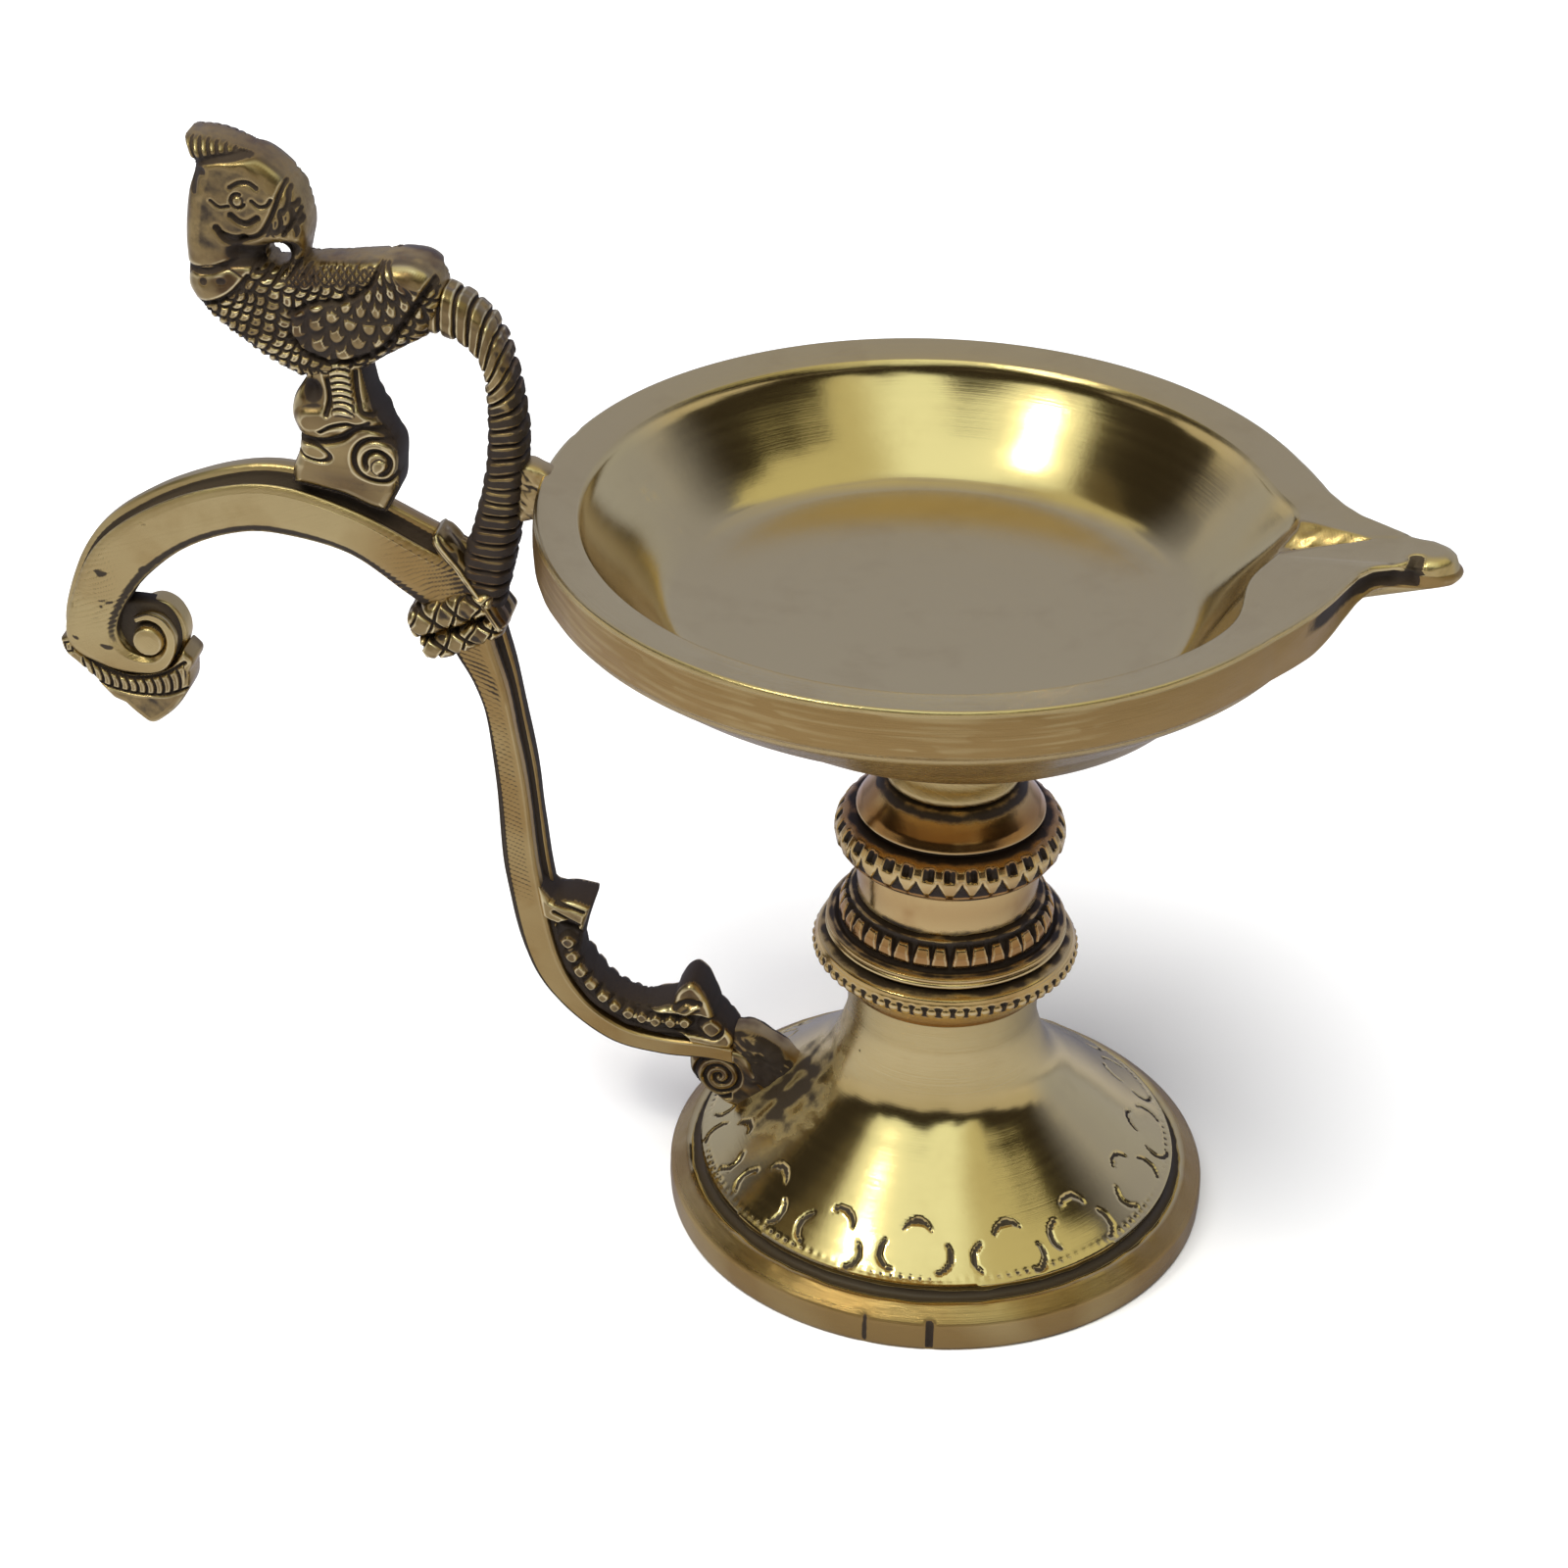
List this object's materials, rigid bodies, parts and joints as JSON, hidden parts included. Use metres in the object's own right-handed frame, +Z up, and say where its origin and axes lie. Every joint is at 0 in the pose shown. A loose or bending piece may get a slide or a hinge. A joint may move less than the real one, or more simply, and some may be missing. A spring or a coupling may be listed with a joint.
{
  "type": "diya oil lamp",
  "caption": "Brass hand lamp: a spouted oil bowl on a turned stem and bell foot, carried by a scrolled side handle topped with a perched bird.",
  "frame": {"origin": "centre of the foot's resting circle, on the stem axis", "axes": "+X towards the wick spout with the handle towards -X, +Y across the lamp, +Z up out of the bowl"},
  "size_m": [0.164, 0.09, 0.1317],
  "materials": {
    "polished_brass": "turned and hand polished, worn, with casting pits and dark grooves",
    "punched_brass": "turned, punched and beaded, dark in the recesses",
    "filed_brass": "cast and filed flat, brushed, dark along the edges",
    "cast_brass": "cast relief with blackened recesses and bright worn tops",
    "braze": "rough filler metal, part blackened",
    "plain_brass": "plain turned"
  },
  "bodies": {
    "root": {"foot": "polished_brass", "lower_knop": "punched_brass", "upper_knop": "punched_brass", "bowl": "polished_brass", "stem_stud": "plain_brass", "stem_washer": "plain_brass", "stem_nut": "plain_brass", "collar_lower": "cast_brass", "collar_upper": "cast_brass", "strut": "filed_brass", "crescent": "cast_brass", "foot_volute": "cast_brass", "scroll_arm": "filed_brass", "scroll_leaf": "cast_brass", "bird": "cast_brass", "perch": "cast_brass", "tail": "cast_brass", "bowl_braze": "braze", "foot_braze": "braze"}
  },
  "joints": []
}
